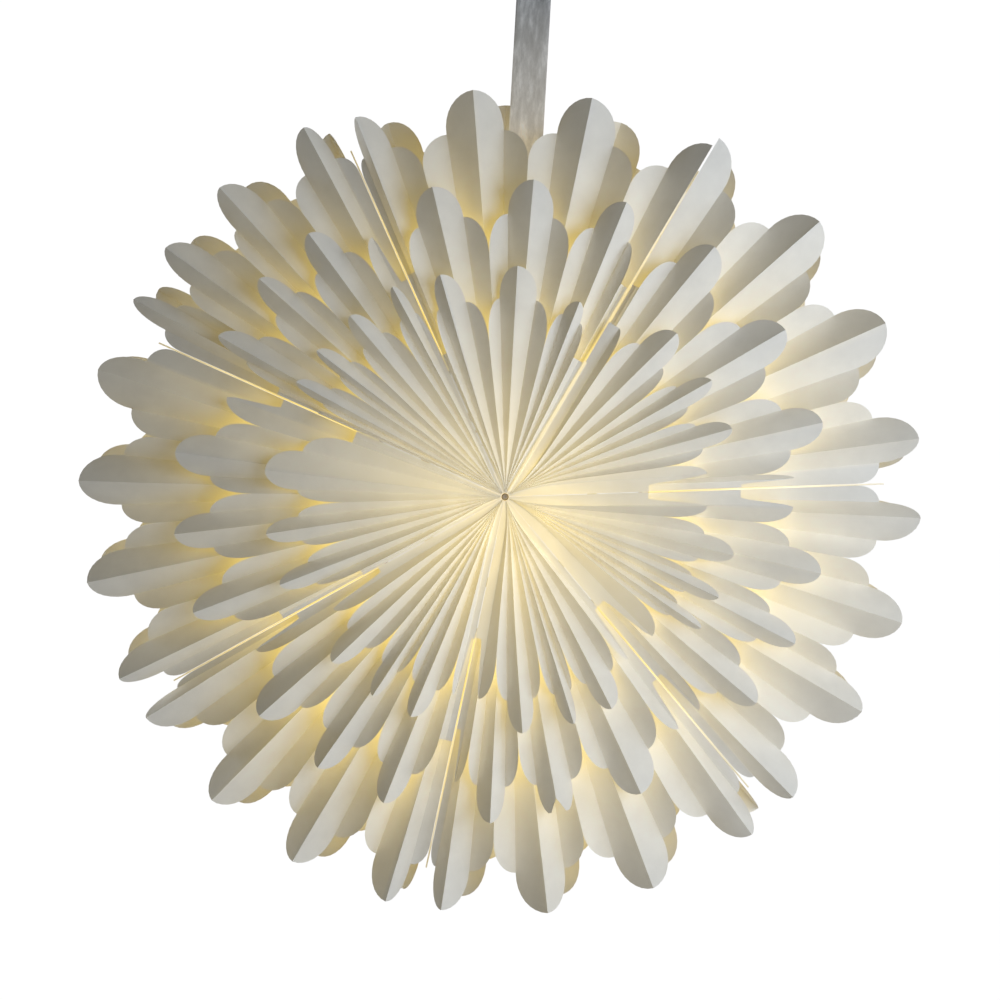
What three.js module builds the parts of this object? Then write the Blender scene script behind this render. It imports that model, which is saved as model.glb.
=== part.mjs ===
// Hanging pleated paper star: seven glued paper sectors, each a stack of pleated sheets in front and
// behind, round a wire core with an E14 lamp, on a flat velvet ribbon with a sewn loop.
// Millimetres, +Z up. The front of the star faces -Y. The origin is where a hook bears in the loop.
import * as THREE from 'three';
import { mergeVertices } from 'three/addons/utils/BufferGeometryUtils.js';

// ---- driving dimensions -------------------------------------------------------------------------
const STAR_DROP = 420; // hook to the middle of the star
const PAPER = 0.9; // thickness of a sheet, measured along Y
const SEAM_GAP = 0.9; // half width of the slit between two sectors
const WALL_THICKNESS = 0.8; // a glued wall at a seam
const SEAM_MARGIN = 1; // degrees that a ridge of the sheets behind keeps from its seam
const APEX_HEIGHT = 44; // the first tier's valley folds, at the star's axis, over the middle plane
const VALLEY_SLOPE = 0.13; // their fall towards the rim, per mm of radius
const PLEAT_DEPTH = 0.06; // height of a ridge over the valleys beside it, per mm of radius
const TIER_GAP = 1.5; // along Y, from one tier's ridges to the valleys of the tier in front of it
const FRONT_HOLE = 7; // radius where the front sheets end at the hub
const BACK_OPENING = 62; // radius of the lamp opening behind
const BACK_REACH = 0.97; // the sheets behind are cut a little smaller
const GAP = 0.3; // between pieces that touch or are glued
const LOOSE_GAP = 0.4; // round wires and threads

// Radii of each tier of sheets: petal tip, fold beside the petal, notch between petals, sector edge.
// level counts the tiers from the middle plane outwards.
const TIERS = {
  outer: { level: 0, tip: 298.5, shoulder: 269, notch: 245, edge: 253 },
  middle: { level: 1, tip: 231.5, shoulder: 206, notch: 176, edge: 168 },
  inner: { level: 2, tip: 168.5, shoulder: 145, notch: 113, edge: 102.5 },
};

// Seven sectors, in degrees round the star from +X towards +Z as the front is seen. Each has the
// seam it starts at and the ridge folds of its three tiers, where petals and notches take turns:
// they were creased by hand, so they are uneven. reach scales the sector's radii, and turn is how
// far the sheets behind are turned from those in front. ends says how a tier stops at each seam:
// lobe   a petal, with its side lobe running down to the seam
// ridge  a petal cut along its ridge by the seam
// flap   a notch, then half a lobe cut steeply down beside the seam
// half   a notch, then half a lobe that runs to the seam
// plain  a notch that runs to the seam
const SECTORS = [
  {
    seam: 5.3,
    reach: 1,
    turn: -2,
    outer: [11.3, 19.1, 28, 36.1, 44.5, 53.2, 62.6],
    middle: [8, 16.5, 25.1, 34.3, 43.5, 53.6, 61],
    inner: [13, 20.1, 26.5, 32.5, 38.9, 47.1, 57.1],
    ends: { outer: ['lobe', 'ridge'], middle: ['flap', 'plain'], inner: ['flap', 'half'] },
  },
  {
    seam: 62.6,
    reach: 0.985,
    turn: -4.5,
    outer: [62.6, 71.4, 80.7, 89.3, 97.9, 107.3, 115.1],
    middle: [64.5, 70.6, 78.7, 88, 97.1, 106.7, 115.3],
    inner: [67, 72.5, 78.7, 90.3, 99.2, 109.8, 115.5],
    ends: { outer: ['ridge', 'lobe'], middle: ['plain', 'plain'], inner: ['plain', 'plain'] },
  },
  {
    seam: 117.3,
    reach: 1.005,
    turn: -3,
    outer: [122, 128.6, 136.2, 140.8, 146.8, 151.7, 155.5],
    middle: [123.3, 130.1, 136.2, 141.8, 147.8, 154.2, 157.7],
    inner: [121.6, 126.2, 134.1, 139.6, 145.2, 149.3, 154.4, 157.7],
    ends: { outer: ['lobe', 'lobe'], middle: ['flap', 'plain'], inner: ['lobe', 'half'] },
  },
  {
    seam: 159.3,
    reach: 1.02,
    turn: -1.8,
    outer: [166, 173.4, 180.9, 187.5, 194.9, 201.7, 208.6],
    middle: [167.3, 175.5, 182.5, 189.8, 196.8, 203.7, 210.4],
    inner: [163.7, 177.1, 185.3, 192.3, 198.3, 204.8, 210.3],
    ends: { outer: ['lobe', 'lobe'], middle: ['flap', 'plain'], inner: ['plain', 'plain'] },
  },
  {
    seam: 212.3,
    reach: 1.008,
    turn: 2,
    outer: [214.5, 222.3, 229.4, 236.4, 243.3, 250.3, 257.1],
    middle: [217.3, 225, 232.2, 238.8, 245.3, 251.8, 258.3],
    inner: [219.9, 227, 234.2, 239.5, 244, 250.1, 257.1],
    ends: { outer: ['lobe', 'lobe'], middle: ['flap', 'plain'], inner: ['flap', 'flap'] },
  },
  {
    seam: 261.3,
    reach: 1,
    turn: 2.5,
    outer: [264.1, 271.2, 278.9, 286.2, 294.2, 302.1, 309.8],
    middle: [265.1, 270.5, 276.1, 282.6, 290.6, 298, 307.8],
    inner: [269.9, 277.4, 284.9, 290, 293.8, 300.1, 308.6],
    ends: { outer: ['lobe', 'lobe'], middle: ['flap', 'flap'], inner: ['flap', 'flap'] },
  },
  {
    seam: 313.3,
    reach: 0.995,
    turn: 0.5,
    outer: [316.7, 324, 331.9, 338.4, 345.8, 353.3, 360.5],
    middle: [317.4, 323.9, 331.1, 336.6, 342.8, 349.7, 357.9],
    inner: [325.5, 329.4, 333.5, 338.1, 342.5, 349.1, 356.9],
    ends: { outer: ['lobe', 'lobe'], middle: ['flap', 'flap'], inner: ['flap', 'flap'] },
  },
];

const COLOURS = {
  paper: { color: 0xf1ece1, roughness: 0.85, metalness: 0 },
  velvet: { color: 0x9c9a98, roughness: 0.75, metalness: 0 },
  steel: { color: 0xb9bbbd, roughness: 0.35, metalness: 1 },
  plastic: { color: 0xeeeeea, roughness: 0.5, metalness: 0 },
  brass: { color: 0xc9a765, roughness: 0.3, metalness: 1 },
  glass: { color: 0xfff3d6, roughness: 0.15, metalness: 0 },
  card: { color: 0xe6dcc6, roughness: 0.9, metalness: 0 },
};

const root = new THREE.Group();
const star = new THREE.Group();
star.position.set(0, 0, -STAR_DROP);
root.add(star);

function addPart(parent, name, geometry, finish) {
  const mesh = new THREE.Mesh(geometry, new THREE.MeshStandardMaterial(COLOURS[finish]));
  mesh.name = name;
  parent.add(mesh);
  return mesh;
}

const lerp = (a, b, t) => a + (b - a) * t;
const toRadians = THREE.MathUtils.degToRad;

// ---- pleated sheets -----------------------------------------------------------------------------

// Height over the middle plane of one tier's valley folds or ridges.
function foldHeight(tier, radius, isRidge) {
  const rise = (tier.level + (isRidge ? 1 : 0)) * PLEAT_DEPTH - VALLEY_SLOPE;
  return APEX_HEIGHT + tier.level * TIER_GAP + rise * radius;
}

// The folds of one sheet from seam to seam: edge, valley, ridge, valley ... ridge, valley, edge. Each
// has its angle and the radius where the paper ends.
function sheetFolds(sector, seamEnd, tierName, side) {
  const { tip, shoulder, notch, edge } = TIERS[tierName];
  const isBack = side > 0;
  const turned = (angle) => {
    return THREE.MathUtils.clamp(angle + sector.turn, sector.seam + SEAM_MARGIN, seamEnd - SEAM_MARGIN);
  };
  const ends = sector.ends[tierName].map((end) => (isBack && end === 'ridge' ? 'lobe' : end));
  const ridges = isBack ? sector[tierName].map(turned) : sector[tierName];
  const startsWithPetal = ends[0] === 'lobe' || ends[0] === 'ridge';
  const folds = ridges.flatMap((angle, i) => {
    const isPetal = (i % 2 === 0) === startsWithPetal;
    const ridge = { angle, radius: isPetal ? tip : notch, isRidge: true };
    const valley = { angle: (angle + ridges[i - 1]) / 2, radius: shoulder, isRidge: false };
    return i > 0 ? [valley, ridge] : [ridge];
  });
  const edgeRadii = { lobe: edge, flap: edge, half: shoulder, plain: notch };
  const closing = (end, seam, ridge) => {
    if (end === 'ridge') return [];
    const valleyRadius = end === 'plain' ? notch : shoulder;
    return [
      { angle: (seam + ridge) / 2, radius: valleyRadius, isRidge: false },
      { angle: seam, radius: edgeRadii[end], isRidge: false, isCut: end === 'flap' },
    ];
  };
  const first = closing(ends[0], sector.seam, ridges[0]).reverse();
  return [...first, ...folds, ...closing(ends[1], seamEnd, ridges[ridges.length - 1])];
}

// Outline points of one panel as [share of the panel, radius], from its left fold to its right one:
// a quarter ellipse from the higher end, or a steep cut beside a seam.
const LOBE_TURNS = [0, 35, 65, 90]; // degrees round the ellipse
const CUT_SHARE = 0.5;
function panelOutline(left, right) {
  if (left.radius === right.radius) return [[0, left.radius], [1, right.radius]];
  const falling = left.radius > right.radius;
  const high = Math.max(left.radius, right.radius);
  const low = Math.min(left.radius, right.radius);
  const isCut = left.isCut || right.isCut;
  const points = isCut
    ? [[0, high], [CUT_SHARE, low], [1, low]]
    : LOBE_TURNS.map((turn) => [Math.sin(toRadians(turn)), lerp(low, high, Math.cos(toRadians(turn)))]);
  return falling ? points : points.map(([share, radius]) => [1 - share, radius]).reverse();
}

// One closed pleated sheet. Its folds are straight and meet in an apex, so its panels are flat. The
// apex stands off the star's axis, which keeps the sheet's edges clear of both seams. side is -1 in
// front and 1 behind.
function pleatedSheet(sectorIndex, tierName, side) {
  const sector = SECTORS[sectorIndex];
  const seamEnd = sectorIndex < 6 ? SECTORS[sectorIndex + 1].seam : SECTORS[0].seam + 360;
  const tier = TIERS[tierName];
  const middle = toRadians((sector.seam + seamEnd) / 2);
  const offset = SEAM_GAP / Math.sin(toRadians(seamEnd - sector.seam) / 2);
  const apex = new THREE.Vector3(offset * Math.cos(middle), 0, offset * Math.sin(middle));
  const folds = sheetFolds(sector, seamEnd, tierName, side);
  const startRadius = side > 0 ? BACK_OPENING : FRONT_HOLE;
  const reach = side > 0 ? sector.reach * BACK_REACH : sector.reach;

  const positions = [];
  const triangles = [];
  const along = (fold, radius) => {
    const angle = toRadians(fold.angle);
    const height = side * foldHeight(tier, radius, fold.isRidge);
    return new THREE.Vector3(radius * Math.cos(angle), height, radius * Math.sin(angle)).add(apex);
  };
  // A point is the index of its vertex on the side of the middle plane; its other vertex is next.
  const place = (left, share, radius) => {
    const right = Math.min(left + 1, folds.length - 1);
    const point = along(folds[left], radius).lerp(along(folds[right], radius), share);
    positions.push(point.x, point.y, point.z, point.x, point.y + side * PAPER, point.z);
    return positions.length / 3 - 2;
  };
  const triangle = (a, b, c) => triangles.push(...(side < 0 ? [a, b, c] : [a, c, b]));
  const rimEdge = (a, b) => {
    triangle(b, a, a + 1);
    triangle(b, a + 1, b + 1);
  };

  const starts = folds.map((_, k) => place(k, 0, startRadius));
  const tops = folds.map((fold, k) => place(k, 0, reach * fold.radius));
  for (let left = 0; left < folds.length - 1; left += 1) {
    const outline = panelOutline(folds[left], folds[left + 1]).slice(1, -1);
    const between = outline.map(([share, radius]) => place(left, share, reach * radius));
    const rim = [tops[left], ...between, tops[left + 1]];
    const corners = [starts[left], starts[left + 1], ...[...rim].reverse()];
    for (let i = 1; i < corners.length - 1; i += 1) {
      triangle(corners[0], corners[i], corners[i + 1]);
      triangle(corners[0] + 1, corners[i + 1] + 1, corners[i] + 1);
    }
    for (let i = 1; i < rim.length; i += 1) rimEdge(rim[i], rim[i - 1]);
    rimEdge(starts[left], starts[left + 1]);
  }
  rimEdge(tops[0], starts[0]);
  rimEdge(starts[folds.length - 1], tops[folds.length - 1]);

  const geometry = new THREE.BufferGeometry();
  geometry.setAttribute('position', new THREE.Float32BufferAttribute(positions, 3));
  geometry.setIndex(triangles);
  return geometry;
}

for (const side of [-1, 1]) {
  const face = side < 0 ? 'front' : 'back';
  const tierNames = side < 0 ? ['outer', 'middle', 'inner'] : ['outer', 'middle'];
  for (const tierName of tierNames) {
    SECTORS.forEach((_, i) => {
      addPart(star, `${face}_${tierName}_sheet_${i + 1}`, pleatedSheet(i, tierName, side), 'paper');
    });
  }
}

// ---- glued walls at the seams -------------------------------------------------------------------

const CORE_RADIUS = 98;
const WIRE_RADIUS = 1.4;
const WALL_START = CORE_RADIUS + WIRE_RADIUS + LOOSE_GAP;
const WALL_SHOULDER = 254; // from here a wall narrows to its tip
const WALL_END = 273;
const WALL_TIP = 3; // half height of a wall at its outer end
const RIDGE_SEAM = 62.6; // the one seam where two petals are glued along their ridges

function extrudeCentred(shape, depth) {
  const geometry = new THREE.ExtrudeGeometry(shape, { depth, bevelEnabled: false, curveSegments: 8 });
  geometry.translate(0, 0, -depth / 2);
  return geometry;
}

function seamWall(frontIsRidge) {
  const front = (radius) => foldHeight(TIERS.outer, radius, frontIsRidge);
  const back = (radius) => foldHeight(TIERS.outer, radius, false);
  const outline = new THREE.Shape([
    new THREE.Vector2(WALL_START, -front(WALL_START)),
    new THREE.Vector2(WALL_SHOULDER, -front(WALL_SHOULDER)),
    new THREE.Vector2(WALL_END, -WALL_TIP),
    new THREE.Vector2(WALL_END, WALL_TIP),
    new THREE.Vector2(WALL_SHOULDER, back(WALL_SHOULDER)),
    new THREE.Vector2(WALL_START, back(WALL_START)),
  ]);
  return extrudeCentred(outline, WALL_THICKNESS);
}

SECTORS.forEach((sector, i) => {
  const spoke = new THREE.Group();
  spoke.rotation.y = -toRadians(sector.seam);
  star.add(spoke);
  addPart(spoke, `seam_wall_${i + 1}`, seamWall(sector.seam === RIDGE_SEAM), 'paper');
});

// ---- core, hub and collar -----------------------------------------------------------------------

// A ring of revolution about Y from a closed profile of [radius, y] points.
function ringAboutY(profile, segments) {
  const points = profile.map(([radius, y]) => new THREE.Vector2(radius, y));
  points.push(points[0].clone());
  return new THREE.LatheGeometry(points, segments);
}

function roundProfile(centre, radius, sides) {
  return Array.from({ length: sides }, (_, i) => {
    const angle = (i / sides) * 2 * Math.PI;
    return [centre + radius * Math.cos(angle), radius * Math.sin(angle)];
  });
}

addPart(star, 'core_ring', ringAboutY(roundProfile(CORE_RADIUS, WIRE_RADIUS, 8), 40), 'steel');

const HUB_RADIUS = 7.6;
const HUB_BEHIND = 2; // how far the hub reaches behind the last sheet
const hubBack = -foldHeight(TIERS.outer, FRONT_HOLE, false) + HUB_BEHIND;
const hubFront = -foldHeight(TIERS.inner, FRONT_HOLE, true) - PAPER;
const hubShape = new THREE.CylinderGeometry(HUB_RADIUS, HUB_RADIUS, hubBack - hubFront, 20);
const hub = addPart(star, 'front_hub', hubShape, 'card');
hub.position.y = (hubBack + hubFront) / 2;

const COLLAR_WIDTH = 7;
const COLLAR_THICKNESS = 1.5;
const COLLAR_INSIDE = BACK_OPENING - 2;
const COLLAR_SINK = 1.2; // from the pleats that are glued to the collar
const collarY = foldHeight(TIERS.outer, BACK_OPENING, false) - COLLAR_THICKNESS - COLLAR_SINK;
const collarProfile = [
  [COLLAR_INSIDE, collarY],
  [COLLAR_INSIDE + COLLAR_WIDTH, collarY],
  [COLLAR_INSIDE + COLLAR_WIDTH, collarY + COLLAR_THICKNESS],
  [COLLAR_INSIDE, collarY + COLLAR_THICKNESS],
];
addPart(star, 'back_collar', ringAboutY(collarProfile, 48), 'card');

// ---- hanger and lamp ----------------------------------------------------------------------------

const YOKE_TOP = 128; // over the middle of the star
const YOKE_HALF = 19; // half the distance between its legs
const YOKE_BEND = 6;
const YOKE_FOOT = Math.sqrt(CORE_RADIUS ** 2 - YOKE_HALF ** 2) + WIRE_RADIUS * 1.2;

function hangerYoke() {
  const path = new THREE.CurvePath();
  const corner = (x) => new THREE.Vector3(x, 0, YOKE_TOP);
  const foot = (x) => new THREE.Vector3(x, 0, YOKE_FOOT + WIRE_RADIUS);
  const under = (x) => new THREE.Vector3(x, 0, YOKE_TOP - YOKE_BEND);
  path.add(new THREE.LineCurve3(foot(-YOKE_HALF), under(-YOKE_HALF)));
  const [left, right] = [corner(-YOKE_HALF), corner(YOKE_HALF)];
  const [leftEnd, rightEnd] = [corner(-YOKE_HALF + YOKE_BEND), corner(YOKE_HALF - YOKE_BEND)];
  path.add(new THREE.QuadraticBezierCurve3(under(-YOKE_HALF), left, leftEnd));
  path.add(new THREE.LineCurve3(leftEnd, rightEnd));
  path.add(new THREE.QuadraticBezierCurve3(rightEnd, right, under(YOKE_HALF)));
  path.add(new THREE.LineCurve3(under(YOKE_HALF), foot(YOKE_HALF)));
  const section = new THREE.Shape();
  section.absarc(0, 0, WIRE_RADIUS, 0, 2 * Math.PI, false);
  return new THREE.ExtrudeGeometry(section, { steps: 40, extrudePath: path, curveSegments: 4 });
}

addPart(star, 'hanger_yoke', hangerYoke(), 'steel');

// A solid or ring of revolution about Z from [radius, height over the middle of the star] points.
function turnedAboutZ(profile, segments) {
  const geometry = ringAboutY(profile, segments);
  geometry.rotateX(Math.PI / 2);
  return geometry;
}

const HOLDER_RADIUS = 14;
const SOCKET_RADIUS = 8.2;
const HOLDER_BOTTOM = 27;
const PLATE_Z = 45;
const PLATE_THICKNESS = 2;
const FLANGE_Z = PLATE_Z + PLATE_THICKNESS + GAP; // the holder's flange rests on the plate
const FLANGE_THICKNESS = 3;
const CLAMP_TOP = PLATE_Z - GAP;

const holderBody = [
  [SOCKET_RADIUS, HOLDER_BOTTOM],
  [HOLDER_RADIUS, HOLDER_BOTTOM],
  [HOLDER_RADIUS, FLANGE_Z],
  [HOLDER_RADIUS + 4, FLANGE_Z],
  [HOLDER_RADIUS + 4, FLANGE_Z + FLANGE_THICKNESS],
  [HOLDER_RADIUS, FLANGE_Z + FLANGE_THICKNESS],
  [HOLDER_RADIUS, 62],
  [0, 62],
  [0, 57],
  [SOCKET_RADIUS, 57],
];
addPart(star, 'lamp_holder_body', turnedAboutZ(holderBody, 28), 'plastic');

const holderCap = [
  [3.5, 62.3],
  [HOLDER_RADIUS, 62.3],
  [HOLDER_RADIUS, 72],
  [10, 80],
  [6, 81],
  [6, 91],
  [3.5, 91],
];
addPart(star, 'lamp_holder_cap', turnedAboutZ(holderCap, 28), 'plastic');

const screwShell = [
  [7.3, 29],
  [7.9, 29],
  [7.9, 50],
  [7.3, 50],
];
addPart(star, 'screw_shell', turnedAboutZ(screwShell, 24), 'brass');

const clampRing = [
  [HOLDER_RADIUS + LOOSE_GAP, CLAMP_TOP - 9],
  [HOLDER_RADIUS + 5, CLAMP_TOP - 9],
  [HOLDER_RADIUS + 5, CLAMP_TOP - 2.5],
  [HOLDER_RADIUS + 7, CLAMP_TOP - 2.5],
  [HOLDER_RADIUS + 7, CLAMP_TOP],
  [HOLDER_RADIUS + LOOSE_GAP, CLAMP_TOP],
];
addPart(star, 'clamp_ring', turnedAboutZ(clampRing, 28), 'plastic');

const bulbCap = [
  [0, 25.3],
  [6.9, 25.3],
  [6.9, 47],
  [4, 50],
  [2.2, 52],
  [0, 52],
];
addPart(star, 'bulb_cap', turnedAboutZ(bulbCap, 24), 'brass');

const GLOBE_RADIUS = 22.5;
const GLOBE_Z = -8;
const GLASS = 1;
const GLOBE_NECK = 9.5; // radius where the globe turns into its neck
const GLOBE_STEPS = 10;

// The outer and inner surface of the globe, from the neck down to the lowest point and back.
function globeProfile() {
  const wallArc = (radius, neckRadius) => {
    const start = Math.PI - Math.asin(neckRadius / radius);
    return Array.from({ length: GLOBE_STEPS + 1 }, (_, i) => {
      const angle = start * (i / GLOBE_STEPS);
      return [radius * Math.sin(angle), GLOBE_Z - radius * Math.cos(angle)];
    });
  };
  const outside = wallArc(GLOBE_RADIUS, GLOBE_NECK);
  const inside = wallArc(GLOBE_RADIUS - GLASS, GLOBE_NECK - GLASS);
  return [...outside, [8.5, 25], [7.5, 25], ...inside.reverse()];
}
addPart(star, 'bulb_globe', turnedAboutZ(globeProfile(), 28), 'glass');

const ledStem = [
  [0, -17],
  [1.5, -17],
  [5, -14],
  [5, 2],
  [2.5, 6],
  [4.5, 24.9],
  [0, 24.9],
];
addPart(star, 'led_stem', turnedAboutZ(ledStem, 16), 'glass');

// The plate that carries the lamp holder, resting on the core ring at both ends.
function lampPlate() {
  const ringReach = Math.sqrt(CORE_RADIUS ** 2 - (PLATE_Z + PLATE_THICKNESS) ** 2);
  const halfLength = ringReach - WIRE_RADIUS - 0.8;
  const armHalf = 7.5;
  const discRadius = 25;
  const joinAngle = Math.asin(armHalf / discRadius);
  const endCentre = halfLength - armHalf;
  const outline = new THREE.Shape();
  outline.absarc(0, 0, discRadius, Math.PI + joinAngle, 2 * Math.PI - joinAngle, false);
  outline.absarc(endCentre, 0, armHalf, -Math.PI / 2, Math.PI / 2, false);
  outline.absarc(0, 0, discRadius, joinAngle, Math.PI - joinAngle, false);
  outline.absarc(-endCentre, 0, armHalf, Math.PI / 2, 1.5 * Math.PI, false);
  const hole = new THREE.Path();
  hole.absarc(0, 0, HOLDER_RADIUS + LOOSE_GAP, 0, 2 * Math.PI, true);
  outline.holes.push(hole);
  const options = { depth: PLATE_THICKNESS, bevelEnabled: false, curveSegments: 10 };
  return new THREE.ExtrudeGeometry(outline, options);
}
const plate = addPart(star, 'lamp_plate', lampPlate(), 'steel');
plate.position.z = PLATE_Z;

// ---- velvet ribbon ------------------------------------------------------------------------------

const RIBBON_WIDTH = 25;
const RIBBON_THICKNESS = 1.6;
const LOOP_HEIGHT = 42;
const LOOP_RADIUS = 8;
const RIBBON_SPLIT = -STAR_DROP + 306; // where the ribbon dips between the front and back petals
const RIBBON_TOP = -LOOP_HEIGHT - GAP;
const RIBBON_FOOT = -STAR_DROP + YOKE_TOP + WIRE_RADIUS + LOOSE_GAP;
const SPLIT_GAP = 0.4;

function ribbonStretch(top, bottom) {
  const geometry = new THREE.BoxGeometry(RIBBON_WIDTH, RIBBON_THICKNESS, top - bottom);
  geometry.translate(0, 0, (top + bottom) / 2);
  return geometry;
}
addPart(root, 'ribbon_upper', ribbonStretch(RIBBON_TOP, RIBBON_SPLIT + SPLIT_GAP / 2), 'velvet');
addPart(root, 'ribbon_lower', ribbonStretch(RIBBON_SPLIT - SPLIT_GAP / 2, RIBBON_FOOT), 'velvet');

// The end of the ribbon turned back on itself: a teardrop seen along the ribbon's width.
function hangingLoop() {
  const top = -LOOP_RADIUS;
  const outline = new THREE.Shape();
  outline.moveTo(-RIBBON_THICKNESS, -LOOP_HEIGHT);
  outline.lineTo(RIBBON_THICKNESS, -LOOP_HEIGHT);
  outline.lineTo(LOOP_RADIUS + RIBBON_THICKNESS, top);
  outline.absarc(0, top, LOOP_RADIUS + RIBBON_THICKNESS, 0, Math.PI, false);
  const hole = new THREE.Path();
  hole.moveTo(0, -LOOP_HEIGHT + 6);
  hole.lineTo(-LOOP_RADIUS, top);
  hole.absarc(0, top, LOOP_RADIUS, Math.PI, 0, true);
  outline.holes.push(hole);
  const geometry = extrudeCentred(outline, RIBBON_WIDTH);
  geometry.rotateX(Math.PI / 2);
  geometry.rotateZ(Math.PI / 2);
  return geometry;
}
addPart(root, 'hanging_loop', hangingLoop(), 'velvet');

root.traverse((object) => {
  if (!object.isMesh) return;
  object.geometry.deleteAttribute('uv');
  object.geometry.deleteAttribute('normal');
  object.geometry = mergeVertices(object.geometry, 1e-4);
  object.geometry.computeVertexNormals();
});

export default root;
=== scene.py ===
"""Looks for the hanging pleated paper star. Lengths are in metres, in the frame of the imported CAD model."""

import math
import random

import bmesh
import bpy
import numpy as np
from mathutils import Matrix, Vector, noise


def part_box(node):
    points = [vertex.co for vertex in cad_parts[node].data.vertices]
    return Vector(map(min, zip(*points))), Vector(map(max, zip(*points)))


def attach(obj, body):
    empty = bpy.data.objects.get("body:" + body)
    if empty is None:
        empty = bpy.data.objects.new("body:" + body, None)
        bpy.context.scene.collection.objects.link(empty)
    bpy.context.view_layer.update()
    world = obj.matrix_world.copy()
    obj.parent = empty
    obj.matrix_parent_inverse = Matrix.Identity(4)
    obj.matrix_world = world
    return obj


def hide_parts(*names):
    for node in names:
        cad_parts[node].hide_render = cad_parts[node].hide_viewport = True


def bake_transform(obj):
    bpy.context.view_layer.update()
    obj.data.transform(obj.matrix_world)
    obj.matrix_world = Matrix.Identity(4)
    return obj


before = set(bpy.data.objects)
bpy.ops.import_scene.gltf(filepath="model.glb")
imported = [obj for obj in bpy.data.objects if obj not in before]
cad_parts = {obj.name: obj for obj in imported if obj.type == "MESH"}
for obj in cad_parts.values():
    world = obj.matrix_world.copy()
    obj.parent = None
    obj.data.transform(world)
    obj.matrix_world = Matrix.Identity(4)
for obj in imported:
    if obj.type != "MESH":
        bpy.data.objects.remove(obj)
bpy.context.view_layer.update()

MM = 0.001
core_low, core_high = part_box("core_ring")
CENTRE = (core_low + core_high) / 2

# ---- the star's own sizes, in millimetres from its centre ---------------------------------------
PAPER = 0.4
SEAM_GAPS = (0.7, 0.7, 0.12)  # half width of the slit beside a seam, for each tier
SEAM_MARGIN = 1
APEX_HEIGHT = 44
VALLEY_SLOPE = 0.13
PLEAT_DEPTH = 0.06
TIER_GAP = 1.5
GATHER_RADIUS = 2.8  # where the front pleats meet at the hub
BACK_OPENING = 62
BACK_REACH = 0.97

TIERS = {
    "outer": {"level": 0, "tip": 298.5, "shoulder": 269, "notch": 245, "edge": 253},
    "middle": {"level": 1, "tip": 231.5, "shoulder": 206, "notch": 176, "edge": 168},
    "inner": {"level": 2, "tip": 168.5, "shoulder": 145, "notch": 113, "edge": 102.5},
}

# Seven hand-folded sectors: the seam each starts at and the ridges of its tiers, in degrees, where
# petals and notches take turns; how each tier ends at its two seams; how far the sheets behind are
# turned; and over what radius (mm) the front folds draw together at the hub.
SECTORS = [
    {
        "seam": 5.3,
        "reach": 1,
        "turn": -2,
        "gather": 38,
        "outer": [11.3, 19.1, 28, 36.1, 44.5, 53.2, 62.6],
        "middle": [8, 16.5, 25.1, 34.3, 43.5, 53.6, 61],
        "inner": [13, 20.1, 26.5, 32.5, 38.9, 47.1, 57.1],
        "ends": {"outer": ("lobe", "ridge"), "middle": ("flap", "plain"), "inner": ("flap", "half")},
    },
    {
        "seam": 62.6,
        "reach": 0.976,
        "turn": -4.5,
        "gather": 14,
        "outer": [62.6, 71.4, 80.7, 89.3, 97.9, 107.3, 115.1],
        "middle": [64.5, 70.6, 78.7, 88, 97.1, 106.7, 115.3],
        "inner": [67, 72.5, 78.7, 90.3, 99.2, 109.8, 115.5],
        "ends": {"outer": ("ridge", "lobe"), "middle": ("plain", "plain"), "inner": ("plain", "plain")},
    },
    {
        "seam": 117.3,
        "reach": 1.005,
        "turn": -3,
        "gather": 13,
        "outer": [122, 128.6, 136.2, 140.8, 146.8, 151.7, 155.5],
        "middle": [123.3, 130.1, 136.2, 141.8, 147.8, 154.2, 157.7],
        "inner": [121.6, 126.2, 134.1, 139.6, 145.2, 149.3, 154.4, 157.7],
        "ends": {"outer": ("lobe", "lobe"), "middle": ("flap", "plain"), "inner": ("lobe", "half")},
    },
    {
        "seam": 159.3,
        "reach": 1.02,
        "turn": -1.8,
        "gather": 16,
        "outer": [166, 173.4, 180.9, 187.5, 194.9, 201.7, 208.6],
        "middle": [167.3, 175.5, 182.5, 189.8, 196.8, 203.7, 210.4],
        "inner": [163.7, 177.1, 185.3, 192.3, 198.3, 204.8, 210.3],
        "ends": {"outer": ("lobe", "lobe"), "middle": ("flap", "plain"), "inner": ("plain", "plain")},
    },
    {
        "seam": 212.3,
        "reach": 1.008,
        "turn": 2,
        "gather": 26,
        "outer": [214.5, 222.3, 229.4, 236.4, 243.3, 250.3, 257.1],
        "middle": [217.3, 225, 232.2, 238.8, 245.3, 251.8, 258.3],
        "inner": [219.9, 227, 234.2, 239.5, 244, 250.1, 257.1],
        "ends": {"outer": ("lobe", "lobe"), "middle": ("flap", "plain"), "inner": ("flap", "flap")},
    },
    {
        "seam": 261.3,
        "reach": 1,
        "turn": 2.5,
        "gather": 28,
        "outer": [264.1, 271.2, 278.9, 286.2, 294.2, 302.1, 309.8],
        "middle": [265.1, 270.5, 276.1, 282.6, 290.6, 298, 307.8],
        "inner": [269.9, 277.4, 284.9, 290, 293.8, 300.1, 308.6],
        "ends": {"outer": ("lobe", "lobe"), "middle": ("flap", "flap"), "inner": ("flap", "flap")},
    },
    {
        "seam": 313.3,
        "reach": 0.995,
        "turn": 0.5,
        "gather": 36,
        "outer": [316.7, 324, 331.9, 338.4, 345.8, 353.3, 360.5],
        "middle": [317.4, 323.9, 331.1, 336.6, 342.8, 349.7, 357.9],
        "inner": [325.5, 329.4, 333.5, 338.1, 342.5, 349.1, 356.9],
        "ends": {"outer": ("lobe", "lobe"), "middle": ("flap", "flap"), "inner": ("flap", "flap")},
    },
]
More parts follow.
